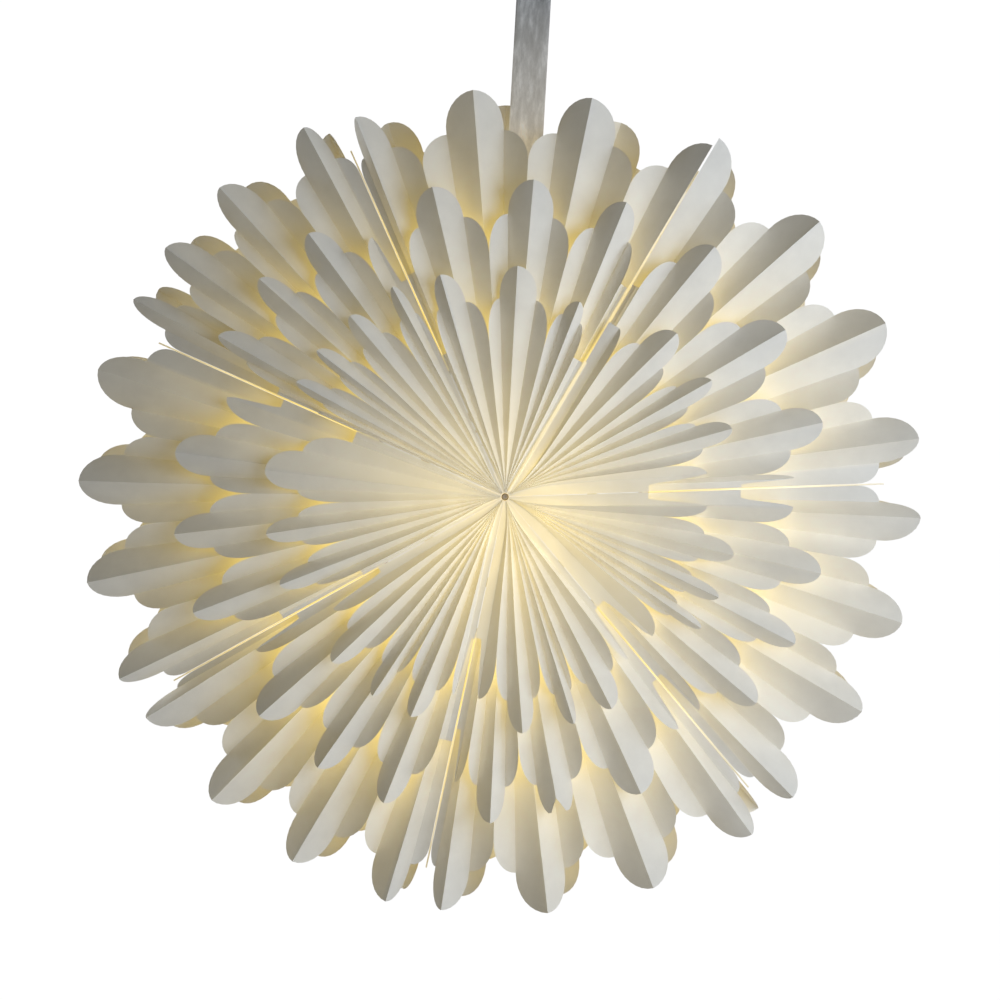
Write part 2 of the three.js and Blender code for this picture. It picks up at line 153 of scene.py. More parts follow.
GATHER_SHARE = 0.85


# ---- camera -------------------------------------------------------------------------------------
CAMERA_DISTANCE = 4.2
SENSOR_WIDTH = 36  # mm
FARTHEST_VIEW = 60
VIEW_WIDTH = 0.721  # seen at the star's distance
ROLL = math.radians(3.3)  # the picture leans, the ribbon hangs plumb
AIM_SHIFT = (0.0036, 0.0022)  # the star stands a little right of and above the middle


def make_camera():
    data = bpy.data.cameras.new("camera")
    data.sensor_width = SENSOR_WIDTH
    data.lens = SENSOR_WIDTH * CAMERA_DISTANCE / VIEW_WIDTH
    data.clip_end = FARTHEST_VIEW
    camera = bpy.data.objects.new("camera", data)
    bpy.context.scene.collection.objects.link(camera)
    right = Vector((math.cos(ROLL), 0, math.sin(ROLL)))
    up = Vector((-math.sin(ROLL), 0, math.cos(ROLL)))
    aim = CENTRE - right * AIM_SHIFT[0] - up * AIM_SHIFT[1]
    back = Vector((0, -1, 0))
    matrix = np.eye(4)
    matrix[:3, 0] = right
    matrix[:3, 1] = up
    matrix[:3, 2] = back
    matrix[:3, 3] = aim + back * CAMERA_DISTANCE
    camera.matrix_world = Matrix(matrix.tolist())
    bpy.context.scene.camera = camera


make_camera()


# ---- mesh helpers -------------------------------------------------------------------------------
def new_object(name, vertices, faces, smooth=True):
    mesh = bpy.data.meshes.new(name)
    mesh.from_pydata([tuple(v) for v in vertices], [], faces)
    mesh.validate()
    mesh.polygons.foreach_set("use_smooth", [smooth] * len(mesh.polygons))
    mesh.update()
    piece = bpy.data.objects.new(name, mesh)
    bpy.context.scene.collection.objects.link(piece)
    return piece


def outward_faces(piece):
    sheet = bmesh.new()
    sheet.from_mesh(piece.data)
    bmesh.ops.recalc_face_normals(sheet, faces=sheet.faces)
    sheet.to_mesh(piece.data)
    sheet.free()


def mark_sharp(piece, degrees):
    """Creases wherever two faces meet at more than that angle."""
    piece.data.set_sharp_from_angle(angle=math.radians(degrees))


def set_glow(piece, values):
    """Stores how strongly the lamp shows through at each vertex, for the paper's material."""
    shade = piece.data.attributes.new("glow", "FLOAT", "POINT")
    shade.data.foreach_set("value", values)


def finish_piece(piece, material, body, slot, *nodes):
    piece.data.materials.append(material)
    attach(piece, body)
    if nodes:
        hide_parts(*nodes)
    return piece


def lerp(a, b, t):
    return a + (b - a) * t


def smoothstep(value, low, high):
    t = min(max((value - low) / (high - low), 0), 1)
    return t * t * (3 - 2 * t)


# ---- materials ----------------------------------------------------------------------------------
# colour of the painted glow: the lamp's light through the paper, as emission
GLOW_STOPS = [(0.0, (0.0, 0.0, 0.0)), (1.0, (0.67, 0.49, 0.12))]


def node_material(name):
    material = bpy.data.materials.new(name)
    material.use_nodes = True
    tree = material.node_tree
    shader = tree.nodes["Principled BSDF"]
    return material, tree, shader


def add_node(tree, kind, inputs=(), **settings):
    node = tree.nodes.new(kind)
    for key, value in settings.items():
        setattr(node, key, value)
    for key, value in inputs:
        node.inputs[key].default_value = value
    return node


def noise_texture(tree, scale, detail=4, roughness=0.6, stretch=None):
    """A noise in object space, stretched along the axes if asked."""
    coordinates = add_node(tree, "ShaderNodeTexCoord")
    settings = [("Scale", scale), ("Detail", detail), ("Roughness", roughness)]
    texture = add_node(tree, "ShaderNodeTexNoise", settings)
    if stretch:
        mapping = add_node(tree, "ShaderNodeMapping", [("Scale", stretch)])
        tree.links.new(coordinates.outputs["Object"], mapping.inputs["Vector"])
        tree.links.new(mapping.outputs["Vector"], texture.inputs["Vector"])
    else:
        tree.links.new(coordinates.outputs["Object"], texture.inputs["Vector"])
    return texture


def colour_ramp(tree, source, stops):
    ramp = add_node(tree, "ShaderNodeValToRGB")
    elements = ramp.color_ramp.elements
    while len(elements) < len(stops):
        elements.new(0.5)
    for element, (position, colour) in zip(elements, stops):
        element.position = position
        element.color = (*colour, 1)
    tree.links.new(source, ramp.inputs["Fac"])
    return ramp


def add_bump(tree, shader, source, distance, strength=0.5):
    bump = add_node(tree, "ShaderNodeBump", [("Strength", strength), ("Distance", distance)])
    tree.links.new(source, bump.inputs["Height"])
    tree.links.new(bump.outputs["Normal"], shader.inputs["Normal"])
    return bump


def paper_material():
    """Matt uncoated paper: cloudy fibres, a fine tooth, and the lamp's warm light coming through, painted on
    as emission from the glow attribute.
    """
    material, tree, shader = node_material("star_paper")
    clouds = noise_texture(tree, 38, detail=5)
    tint = colour_ramp(tree, clouds.outputs["Fac"], [(0.3, (0.80, 0.80, 0.80)), (0.7, (0.87, 0.87, 0.87))])
    tree.links.new(tint.outputs["Color"], shader.inputs["Base Color"])
    shader.inputs["Roughness"].default_value = 0.88
    shader.inputs["Specular IOR Level"].default_value = 0.25
    tooth = noise_texture(tree, 900, detail=3)
    add_bump(tree, shader, tooth.outputs["Fac"], 0.0002, 0.35)
    glow = add_node(tree, "ShaderNodeAttribute", attribute_name="glow")
    warm = colour_ramp(tree, glow.outputs["Fac"], GLOW_STOPS)
    mottle = colour_ramp(tree, clouds.outputs["Fac"], [(0.25, (0.86, 0.84, 0.80)), (0.75, (1, 1, 1))])
    mix = add_node(tree, "ShaderNodeMix", data_type="RGBA", blend_type="MULTIPLY")
    mix.inputs["Factor"].default_value = 1
    tree.links.new(warm.outputs["Color"], mix.inputs["A"])
    tree.links.new(mottle.outputs["Color"], mix.inputs["B"])
    tree.links.new(mix.outputs["Result"], shader.inputs["Emission Color"])
    shader.inputs["Emission Strength"].default_value = 1.0
    return material


def simple_material(name, low, high, roughness, metallic=0.0, scale=200, bump=0.0001, stretch=None):
    material, tree, shader = node_material(name)
    texture = noise_texture(tree, scale, stretch=stretch)
    tint = colour_ramp(tree, texture.outputs["Fac"], [(0.35, low), (0.65, high)])
    tree.links.new(tint.outputs["Color"], shader.inputs["Base Color"])
    shader.inputs["Roughness"].default_value = roughness
    shader.inputs["Metallic"].default_value = metallic
    add_bump(tree, shader, texture.outputs["Fac"], bump, 0.4)
    return material


STAR_LIGHT_FULL, STAR_LIGHT_GONE = -0.16, -0.06  # heights on the ribbon between which the painted light from the star fades


def velvet_material():
    """Crushed velvet: pile pressed in patches with a painted sheen, lighter where it lies over, and a soft
    sheen from the shader. Its lower end has painted light from the star, as emission."""
    material, tree, shader = node_material("crushed_velvet")
    crush = noise_texture(tree, 60, detail=6, roughness=0.7, stretch=(1.6, 1, 0.45))
    # painted sheen: the crushed patches lighter and darker as the pile would catch the light
    tint = colour_ramp(
        tree,
        crush.outputs["Fac"],
        [(0.30, (0.30, 0.295, 0.29)), (0.5, (0.53, 0.525, 0.52)), (0.66, (0.86, 0.85, 0.84))],
    )
    tree.links.new(tint.outputs["Color"], shader.inputs["Base Color"])
    shader.inputs["Roughness"].default_value = 0.62
    shader.inputs["Sheen Weight"].default_value = 0.6
    shader.inputs["Sheen Roughness"].default_value = 0.4
    # painted light from the star on the ribbon's lower end, as emission
    height = add_node(tree, "ShaderNodeTexCoord")
    split = add_node(tree, "ShaderNodeSeparateXYZ")
    reach = [("From Min", STAR_LIGHT_FULL), ("From Max", STAR_LIGHT_GONE)]
    span = add_node(tree, "ShaderNodeMapRange", reach)
    tree.links.new(height.outputs["Object"], split.inputs["Vector"])
    tree.links.new(split.outputs["Z"], span.inputs["Value"])
    lit = colour_ramp(tree, span.outputs["Result"], [(0.0, (0.24, 0.21, 0.16)), (1.0, (0.0, 0.0, 0.0))])
    tree.links.new(lit.outputs["Color"], shader.inputs["Emission Color"])
    shader.inputs["Emission Strength"].default_value = 1.0
    pile = noise_texture(tree, 1400, detail=2)
    add_bump(tree, shader, pile.outputs["Fac"], 0.0003, 0.5)
    return material


def glow_material(name, colour, strength):
    material, tree, shader = node_material(name)
    texture = noise_texture(tree, 60)
    tint = colour_ramp(tree, texture.outputs["Fac"], [(0.3, (0.95, 0.9, 0.8)), (0.7, (1, 0.96, 0.88))])
    tree.links.new(tint.outputs["Color"], shader.inputs["Base Color"])
    shader.inputs["Roughness"].default_value = 0.35
    shader.inputs["Emission Color"].default_value = (*colour, 1)
    shader.inputs["Emission Strength"].default_value = strength
    return material


PAPER_LOOK = paper_material()
CARD_LOOK = simple_material(
    "glued_card", (0.72, 0.66, 0.55), (0.80, 0.75, 0.65), 0.9, scale=300, bump=0.0003
)
KNOT_LOOK = simple_material(
    "glued_thread", (0.46, 0.42, 0.41), (0.64, 0.58, 0.56), 0.9, scale=700, bump=0.0004
)
STEEL_LOOK = simple_material("steel_wire", (0.50, 0.50, 0.50), (0.62, 0.62, 0.61), 0.32, 1.0, scale=500)
PLATE_LOOK = simple_material("plate_steel", (0.80, 0.80, 0.78), (0.86, 0.86, 0.84), 0.45, scale=700)
PLASTIC_LOOK = simple_material("holder_plastic", (0.84, 0.84, 0.82), (0.88, 0.88, 0.86), 0.38, scale=400)
BRASS_LOOK = simple_material("shell_brass", (0.62, 0.47, 0.22), (0.72, 0.56, 0.28), 0.3, 1.0, scale=400)
CAP_LOOK = simple_material("cap_metal", (0.70, 0.70, 0.70), (0.80, 0.80, 0.80), 0.28, 1.0, scale=400)
VELVET_LOOK = velvet_material()
BULB_LOOK = glow_material("bulb_glass", (1.0, 0.82, 0.55), 0.9)


# ---- velvet ribbon ------------------------------------------------------------------------------
RIBBON_WIDTH = 25.0
RIBBON_THICKNESS = 1.5
RIBBON_STEPS = 120
LOOP_STEPS = 20
STRAP_RING = 56  # points round the strap
EDGE_SQUARENESS = 0.35  # power of the cosine that makes the strap's width
FACE_FLATNESS = 0.6  # power of the sine that makes its thickness
PILE_WAVES = 0.28  # mm, how unevenly the pile stands


def squared(value, power):
    return math.copysign(abs(value) ** power, value)


def strap(name, path, seed=0.0):
    """A velvet strap along a path of (y, z) points in mm from the frame's origin, its width on X."""
    vertices, faces = [], []
    count = len(path)
    for i, (y, z) in enumerate(path):
        before, after = path[max(i - 1, 0)], path[min(i + 1, count - 1)]
        tangent = Vector((0, after[0] - before[0], after[1] - before[1])).normalized()
        normal = Vector((0, -tangent.z, tangent.y))
        for k in range(STRAP_RING):
            turn = 2 * math.pi * k / STRAP_RING
            x = squared(math.cos(turn), EDGE_SQUARENESS) * RIBBON_WIDTH / 2
            thick = squared(math.sin(turn), FACE_FLATNESS) * RIBBON_THICKNESS / 2
            spot = Vector((x * 0.12, y * 0.05 + seed, z * 0.05))
            thick += PILE_WAVES * noise.noise(spot) * abs(math.sin(turn))
            vertices.append((Vector((x, y, z)) + normal * thick) * MM)
    for i in range(count - 1):
        start, after = i * STRAP_RING, (i + 1) * STRAP_RING
        for k in range(STRAP_RING):
            m = (k + 1) % STRAP_RING
            faces.append((start + k, start + m, after + m, after + k))
    faces.append(tuple(reversed(range(STRAP_RING))))
    faces.append(tuple((count - 1) * STRAP_RING + k for k in range(STRAP_RING)))
    piece = new_object(name, vertices, faces)
    outward_faces(piece)
    return piece


def make_ribbon():
    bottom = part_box("ribbon_lower")[0].z / MM
    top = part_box("ribbon_upper")[1].z / MM
    path = [(0.0, lerp(bottom, top, i / RIBBON_STEPS)) for i in range(RIBBON_STEPS + 1)]
    ribbon = strap("velvet_ribbon", path)
    ribbon.data.materials.append(VELVET_LOOK)
    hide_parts("ribbon_upper", "ribbon_lower")
    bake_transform(ribbon)

    low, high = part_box("hanging_loop")
    radius = (high.y - low.y) / 2 / MM - RIBBON_THICKNESS / 2
    centre = high.z / MM - RIBBON_THICKNESS / 2 - radius
    base = low.z / MM
    spread = RIBBON_THICKNESS / 2 + 0.05
    rise, arc = [], []
    for i in range(LOOP_STEPS):
        t = i / LOOP_STEPS
        rise.append((lerp(spread, radius, smoothstep(t, 0.1, 1.0)), lerp(base, centre, t)))
    for i in range(LOOP_STEPS + 1):
        turn = math.pi * i / LOOP_STEPS
        arc.append((radius * math.cos(turn), centre + radius * math.sin(turn)))
    loop = strap("velvet_loop", rise + arc + [(-y, z) for y, z in reversed(rise)], seed=5.0)
    finish_piece(loop, VELVET_LOOK, "ribbon", "crushed_velvet", "hanging_loop")


make_ribbon()


# ---- pleated sheets -----------------------------------------------------------------------------
LOBE_COLUMNS = 8  # in each panel between two folds
ROWS = 24  # from the hub to the edge
CUT_SHARE = 0.5  # of a panel that is cut back beside a seam
BACK_GATHER = 8
CURL = 1.4  # mm, how far a panel bulges at its free end
RIDGE_LIFT, VALLEY_LIFT = 1.8, 0.6  # mm, how far a fold's free end is out of its plane
SWAY = 0.3  # degrees, how far it leans to a side
FREE_SHARE = 0.8  # of the notch's radius, from where the folds are free
PAPER_CREASE = 22  # degrees
RANDOM = random.Random(7)


def fold_height(tier, radius, is_ridge):
    rise = (tier["level"] + is_ridge) * PLEAT_DEPTH - VALLEY_SLOPE
    return APEX_HEIGHT + tier["level"] * TIER_GAP + rise * radius


def seam_end_of(index):
    return SECTORS[index + 1]["seam"] if index + 1 < len(SECTORS) else SECTORS[0]["seam"] + 360


def sheet_folds(index, tier_name, side):
    """The folds of one sheet from seam to seam, as angle, end radius, is it a ridge, is it cut."""
    sector, tier = SECTORS[index], TIERS[tier_name]
    seam_end = seam_end_of(index)
    ends = sector["ends"][tier_name]
    ridges = sector[tier_name]
    if side > 0:
        ends = ["lobe" if end == "ridge" else end for end in ends]
        low, high = sector["seam"] + SEAM_MARGIN, seam_end - SEAM_MARGIN
        ridges = [min(max(angle + sector["turn"], low), high) for angle in ridges]
    starts_with_petal = ends[0] in ("lobe", "ridge")
    folds = []
    for i, angle in enumerate(ridges):
        if i:
            folds.append(((angle + ridges[i - 1]) / 2, tier["shoulder"], False, False))
        is_petal = (i % 2 == 0) == starts_with_petal
        folds.append((angle, tier["tip" if is_petal else "notch"], True, False))
    edge_radii = {"lobe": "edge", "flap": "edge", "half": "shoulder", "plain": "notch"}

    def closing(end, seam, ridge):
        if end == "ridge":
            return []
        valley = tier["notch" if end == "plain" else "shoulder"]
        return [
            ((seam + ridge) / 2, valley, False, False),
            (seam, tier[edge_radii[end]], False, end == "flap"),
        ]

    first = closing(ends[0], sector["seam"], ridges[0])[::-1]
    return first + folds + closing(ends[1], seam_end, ridges[-1])


# Two petals that aren't as cut: fold number of the ridge, by sector and tier.
BLUNT_PETAL = (1, "inner", 4)  # its tip and the folds beside it are shorter
BLUNT_RADII = (138, 152, 140)
TORN_PETAL = (5, "middle", 8)  # its tip is nicked at the ridge
NICK_DEPTH = 15
NICK_SHARE = 0.3  # of the panels beside the ridge


def blunted(folds):
    first = BLUNT_PETAL[2] - 1
    for fold, radius in enumerate(BLUNT_RADII, first):
        folds[fold] = (folds[fold][0], radius, *folds[fold][2:])
    return folds


def torn(outline, is_after_ridge):
    """The outline of a panel beside the torn tip, nicked towards the ridge."""
    nicked = []
    for share, radius in outline:
        from_ridge = share if is_after_ridge else 1 - share
        nicked.append((share, radius - NICK_DEPTH * math.exp(-((from_ridge / NICK_SHARE) ** 2))))
    return nicked


def panel_outline(left, right):
    """Points (share of the panel, radius) along the end of a panel, from its left fold."""
    falling = left[1] >= right[1]
    high, low = max(left[1], right[1]), min(left[1], right[1])
    points = []
    for i in range(LOBE_COLUMNS + 1):
        turn = i / LOBE_COLUMNS * math.pi / 2
        share = math.sin(turn)
        radius = lerp(low, high, math.cos(turn))
        if left[3] or right[3]:
            share = i / LOBE_COLUMNS
            radius = lerp(high, low, smoothstep(share, 0, CUT_SHARE))
        points.append((share if falling else 1 - share, radius))
    return points if falling else points[::-1]


# For each tier: the radius where it comes into sight, and the parts of its painted glow as strength and the
# length over which it fades. The first part spreads, and the second is the bright edge.
GLOWS = (
    (180, ((0.55, 84), (0.20, 13))),
    (116, ((0.56, 78), (0.23, 13))),
    (0, ((1.38, 80),)),
)
BACK_GLOW = 0.8
FLAP_GLOW = 0.72  # the panels beside a seam are glued double
CREASE_SHADE, CREASE_REACH = 0.5, 90  # painted shade: how much darker a valley fold is near the middle
KNOT_SHADE, KNOT_REACH = 0.78, 18  # painted shade: how much of the glow is taken off close to the knot, where the gathered paper hides it
PANEL_TONES = (0.8, 1.22)
LEAST_GLOW = 0.02
LAMP_GLOW = 1.02  # halfway up the star
BELOW_GLOW = 0.22  # how much more there is below the lamp
BELOW = 285  # degrees
EDGE_GLOW, EDGE_SIDE_GLOW = 0.85, 0.35  # of the bright edge, and how it grows from right to left


def glow_at(tier, angle, radius, is_front):
    """How strongly the lamp's painted glow shows through: most where a tier comes out from under the next,
    and least above the lamp, as painted shade where its holder is in the way."""
    shade = LAMP_GLOW + BELOW_GLOW * math.cos(math.radians(angle - BELOW))
    start, parts = GLOWS[tier["level"] if is_front or tier["level"] == 0 else 2]
    reach = abs(radius - start)
    edge = EDGE_GLOW - EDGE_SIDE_GLOW * math.cos(math.radians(angle))
    shares = (1, edge)
    glows = [share * high * math.exp(-reach / length) for share, (high, length) in zip(shares, parts)]
    return shade * (LEAST_GLOW + sum(glows)) * (1 if is_front else BACK_GLOW)


def crowding(width):
    """How much of its painted glow a panel shows by its width in degrees: pleats of less than 5 shade each
    other, and wide panels lie open."""
    return 0.62 + 0.38 * min(max((width - 1) / 4, 0), 1) + 0.40 * smoothstep(width, 5, 14)


def pleated_sheet(index, tier_name, side):
    sector, tier = SECTORS[index], TIERS[tier_name]
    folds = sheet_folds(index, tier_name, side)
    if (index, tier_name) == BLUNT_PETAL[:2] and side < 0:
        folds = blunted(folds)
    seam, seam_end = sector["seam"], seam_end_of(index)
    middle = math.radians((seam + seam_end) / 2)
    offset = SEAM_GAPS[tier["level"]] / math.sin(math.radians(seam_end - seam) / 2)
    gather = sector["gather"] if side < 0 else BACK_GATHER
    start_radius = BACK_OPENING if side > 0 else GATHER_RADIUS
    reach = sector["reach"] * (BACK_REACH if side > 0 else 1)
    count = len(folds)
    curl = [RANDOM.uniform(-CURL, CURL) for _ in range(count - 1)]
    most_lift = [RIDGE_LIFT if fold[2] else VALLEY_LIFT for fold in folds]
    lift = [RANDOM.uniform(-most, most) for most in most_lift]
    sway = [RANDOM.uniform(-SWAY, SWAY) for _ in range(count)]
    sway[0] = sway[-1] = 0
    tone = [RANDOM.uniform(*PANEL_TONES) for _ in range(count - 1)]
    if tier_name != "inner":
        tone[0] *= FLAP_GLOW
        tone[-1] *= FLAP_GLOW
    free_from = tier["notch"] * FREE_SHARE

    columns = []
    for left in range(count - 1):
        outline = panel_outline(folds[left], folds[left + 1])
        if (index, tier_name) == TORN_PETAL[:2] and side < 0 and TORN_PETAL[2] in (left, left + 1):
            outline = torn(outline, TORN_PETAL[2] == left)
        columns += [(left, share, radius * reach) for share, radius in outline[:-1]]
    columns.append((count - 2, 1.0, folds[-1][1] * reach))

    def fold_angle(fold, radius):
        angle = folds[fold][0]
        if fold in (0, count - 1):
            return angle
        centre = (seam + seam_end) / 2
        return centre + (angle - centre) * (1 - GATHER_SHARE * math.exp(-radius / gather))

    def along(fold, radius, free):
        angle = math.radians(fold_angle(fold, radius) + sway[fold] * free)
        height = fold_height(tier, radius, folds[fold][2]) + lift[fold] * free
        return np.array((radius * math.cos(angle), side * height, radius * math.sin(angle)))

    skins, glow = ([], []), []
    apex = np.array((offset * math.cos(middle), 0, offset * math.sin(middle)))
    for left, share, end_radius in columns:
        for row in range(ROWS + 1):
            radius = lerp(start_radius, end_radius, row / ROWS)
            free = smoothstep(radius, free_from, tier["tip"])
            point = apex + lerp(along(left, radius, free), along(left + 1, radius, free), share)
            point[1] += side * curl[left] * free * 4 * share * (1 - share)
            width = fold_angle(left + 1, radius) - fold_angle(left, radius)
            ridge_share = share if folds[left + 1][2] else 1 - share
            # painted shade: valleys darker near the middle, and glow taken off close to the knot
            painted_shade = 1 - CREASE_SHADE * (1 - ridge_share) * math.exp(-radius / CREASE_REACH)
            painted_shade *= 1 - KNOT_SHADE * math.exp(-radius / KNOT_REACH)
            lit = glow_at(tier, folds[left][0], radius, side < 0) * tone[left]
            glow.append(lit * crowding(width) * painted_shade)
            for skin, shift in zip(skins, (0, PAPER)):
                skin.append(CENTRE + Vector((point[0], point[1] + side * shift, point[2])) * MM)
    half = len(skins[0])
    step = ROWS + 1
    faces = []

    def quad(*corners):
        faces.append(corners if side < 0 else corners[::-1])

    for column in range(len(columns) - 1):
        for row in range(ROWS):
            a, b = column * step + row, (column + 1) * step + row
            quad(a, b, b + 1, a + 1)
            quad(a + half, a + 1 + half, b + 1 + half, b + half)
        a, b = column * step, (column + 1) * step
        quad(b, a, a + half, b + half)
        quad(a + ROWS, b + ROWS, b + ROWS + half, a + ROWS + half)
    last = (len(columns) - 1) * step
    for row in range(ROWS):
        quad(row, row + 1, row + 1 + half, row + half)
        quad(last + row + 1, last + row, last + row + half, last + row + 1 + half)
    face = "front" if side < 0 else "back"
    piece = new_object(f"{face}_{tier_name}_paper_{index + 1}", skins[0] + skins[1], faces)
    set_glow(piece, glow + glow)
    mark_sharp(piece, PAPER_CREASE)
    return finish_piece(piece, PAPER_LOOK, "star", "star_paper", f"{face}_{tier_name}_sheet_{index + 1}")


for side in (-1, 1):
    for tier_name in ("outer", "middle", "inner") if side < 0 else ("outer", "middle"):
        for index in range(len(SECTORS)):
            pleated_sheet(index, tier_name, side)


# ---- seam walls ---------------------------------------------------------------------------------
WALL_START, WALL_SHOULDER, WALL_END = 99.5, 254.0, 273.0
WALL_TIP = 3.0  # half height at its outer end
WALL_THICKNESS = 1.0
WALL_WAVE, WALL_WAVE_LENGTH = 0.15, 23
WALL_ROWS, WALL_COLUMNS = 40, 12
WALL_GLOWS = (0.35, 1.25)  # painted glow: inside, and at the edge that is seen
RIDGE_SEAM = 1  # number of the wall that a ridge of the front runs along
STRIP_START, STRIP_END, STRIP_STEPS = 5, 176, 40
STRIP_HALF = 1.0
STRIP_THICKNESS = 2
STRIP_HEIGHT = 1.1  # over the valley folds beside it
# painted glow along the ridge strip
STRIP_GLOW = 1.5
SEAM_CREASE = 40  # degrees


def seam_axes(index):
    """The directions along a seam and across it."""
    angle = math.radians(SECTORS[index]["seam"])
    return Vector((math.cos(angle), 0, math.sin(angle))), Vector((-math.sin(angle), 0, math.cos(angle)))


def seam_wall(index):
    """The glued strip between two sectors, seen edge-on, with a slight wave."""
    along, across = seam_axes(index)
    vertices, faces, glow = [], [], []
    for skin in (-1, 1):
        for i in range(WALL_ROWS + 1):
            radius = lerp(WALL_START, WALL_END, i / WALL_ROWS)
            fall = max(radius - WALL_SHOULDER, 0) / (WALL_END - WALL_SHOULDER)
            half, front = [
                lerp(fold_height(TIERS["outer"], min(radius, WALL_SHOULDER), is_ridge), WALL_TIP, fall)
                for is_ridge in (False, index == RIDGE_SEAM)
            ]
            for j in range(WALL_COLUMNS + 1):
                share = j / WALL_COLUMNS * 2 - 1
                wave = WALL_WAVE * math.sin(radius / WALL_WAVE_LENGTH + index) * (1 - share**2)
                offset = wave + skin * WALL_THICKNESS / 2
                place = CENTRE + (along * radius + across * offset) * MM
                depth = share * (front if share < 0 else half)
                vertices.append(place + Vector((0, depth * MM, 0)))
                # painted glow, fading towards the wall's outer end
                fade = 1 - 0.6 * smoothstep(radius, 190, WALL_END)
                glow.append(fade * lerp(*WALL_GLOWS, smoothstep(abs(share), 0.7, 1)))
    width = WALL_COLUMNS + 1
    count = (WALL_ROWS + 1) * width
    for i in range(WALL_ROWS):
        for j in range(WALL_COLUMNS):
            a = i * width + j
            faces.append((a, a + 1, a + width + 1, a + width))
            faces.append((a + count, a + width + count, a + width + 1 + count, a + 1 + count))
    rim = list(range(width))
    rim += [i * width + WALL_COLUMNS for i in range(1, WALL_ROWS + 1)]
    rim += [WALL_ROWS * width + j for j in range(WALL_COLUMNS - 1, -1, -1)]
    rim += [i * width for i in range(WALL_ROWS - 1, 0, -1)]
    for a, b in zip(rim, rim[1:] + rim[:1]):
        faces.append((b, a, a + count, b + count))
    piece = new_object(f"seam_wall_paper_{index + 1}", vertices, faces)
    set_glow(piece, glow)
    mark_sharp(piece, SEAM_CREASE)
    return finish_piece(piece, PAPER_LOOK, "star", "star_paper", f"seam_wall_{index + 1}")


def ridge_strip():
    """The folded edge that stands out of the one seam between two ridges, from the hub outwards."""
    along, across = seam_axes(RIDGE_SEAM)
    vertices, faces = [], []
    for i in range(STRIP_STEPS + 1):
        radius = lerp(STRIP_START, STRIP_END, i / STRIP_STEPS)
        tier = TIERS["inner" if radius < TIERS["inner"]["notch"] else "middle"]
        top = fold_height(tier, radius, False) + STRIP_HEIGHT
        bottom = top - STRIP_THICKNESS
        half = STRIP_HALF * lerp(0.5, 1, smoothstep(radius, 0, 60))
        for y, x in ((top, -half), (top, half), (bottom, half), (bottom, -half)):
            vertices.append(CENTRE + (along * radius + across * x) * MM - Vector((0, y, 0)) * MM)
    for i in range(STRIP_STEPS):
        for k in range(4):
            a, b = i * 4 + k, i * 4 + (k + 1) % 4
            faces.append((a, b, b + 4, a + 4))
    faces += [(3, 2, 1, 0), tuple(STRIP_STEPS * 4 + k for k in range(4))]
    piece = new_object("ridge_seam_strip", vertices, faces)
    outward_faces(piece)
    set_glow(piece, [STRIP_GLOW] * len(vertices))
    mark_sharp(piece, SEAM_CREASE)
    return finish_piece(piece, PAPER_LOOK, "star", "star_paper")


for index in range(len(SECTORS)):
    seam_wall(index)
ridge_strip()


# ---- turned pieces ------------------------------------------------------------------------------
TURNED_CREASE = 35  # degrees


def turned(name, profile, segments=64, axis="z"):
    """A body of revolution about the star's Z or Y axis from [radius, height] points in mm. A
    profile that doesn't start and end on the axis is closed on itself."""
    on_axis = profile[0][0] == 0 and profile[-1][0] == 0
    vertices, faces, rings = [], [], []
    for radius, height in profile:
        ring = []
        count = 1 if radius == 0 else segments
        for i in range(count):
            angle = 2 * math.pi * i / segments
            a, b = radius * math.cos(angle) * MM, radius * math.sin(angle) * MM
            offset = Vector((a, b, height * MM)) if axis == "z" else Vector((a, height * MM, -b))
            ring.append(len(vertices))
            vertices.append(CENTRE + offset)
        rings.append(ring)
    pairs = list(zip(rings, rings[1:]))
    if not on_axis:
        pairs.append((rings[-1], rings[0]))
    for lower, upper in pairs:
        for i in range(segments):
            j = (i + 1) % segments
            below = [lower[i % len(lower)], lower[j % len(lower)]]
            above = [upper[j % len(upper)], upper[i % len(upper)]]
            unique = list(dict.fromkeys(below + above))
            if len(unique) > 2:
                faces.append(unique)
    piece = new_object(name, vertices, faces)
    outward_faces(piece)
    mark_sharp(piece, TURNED_CREASE)
    return piece


def local_top(node):
    return (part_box(node)[1].z - CENTRE.z) / MM


def local_bottom(node):
    return (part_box(node)[0].z - CENTRE.z) / MM


def half_width(node):
    low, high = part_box(node)
    return (high.x - low.x) / 2 / MM


GLOBE_STEPS = 40
NECK_RADIUS = 9.5
THREADS = 7
THREAD_STEPS = 8
THREAD_DEPTH = 0.4
GRIP_STEPS = 25  # rings of the thread round the holder
HOLDER_RADIUS = 14
SOCKET_RADIUS = 8.2
DOME_STEPS = 8


def bulb_pieces():
    radius = half_width("bulb_globe")
    middle = local_bottom("bulb_globe") + radius
    end = math.pi - math.asin(NECK_RADIUS / radius)
    turns = [end * i / GLOBE_STEPS for i in range(1, GLOBE_STEPS + 1)]
    arc = [(radius * math.sin(turn), middle - radius * math.cos(turn)) for turn in turns]
    neck_top = local_top("bulb_globe")
    profile = [(0, middle - radius)] + arc + [(8.6, neck_top - 1.5), (7.6, neck_top), (0, neck_top)]
    globe = turned("bulb_frosted_globe", profile)
    finish_piece(globe, BULB_LOOK, "bulb", "bulb_glass", "bulb_globe", "led_stem")

    bottom, top = local_bottom("bulb_cap"), local_top("bulb_cap")
    profile = [(0, bottom), (6.6, bottom)]
    for i in range(THREADS * THREAD_STEPS + 1):
        height = lerp(bottom + 1, bottom + 20.5, i / (THREADS * THREAD_STEPS))
        profile.append((6.45 + THREAD_DEPTH * math.cos(i / THREAD_STEPS * 2 * math.pi), height))
    profile += [(5.8, bottom + 22), (4, bottom + 24.4), (2.2, top - 0.6), (1.2, top), (0, top)]
    finish_piece(turned("bulb_screw_cap", profile), CAP_LOOK, "bulb", "cap_metal", "bulb_cap")


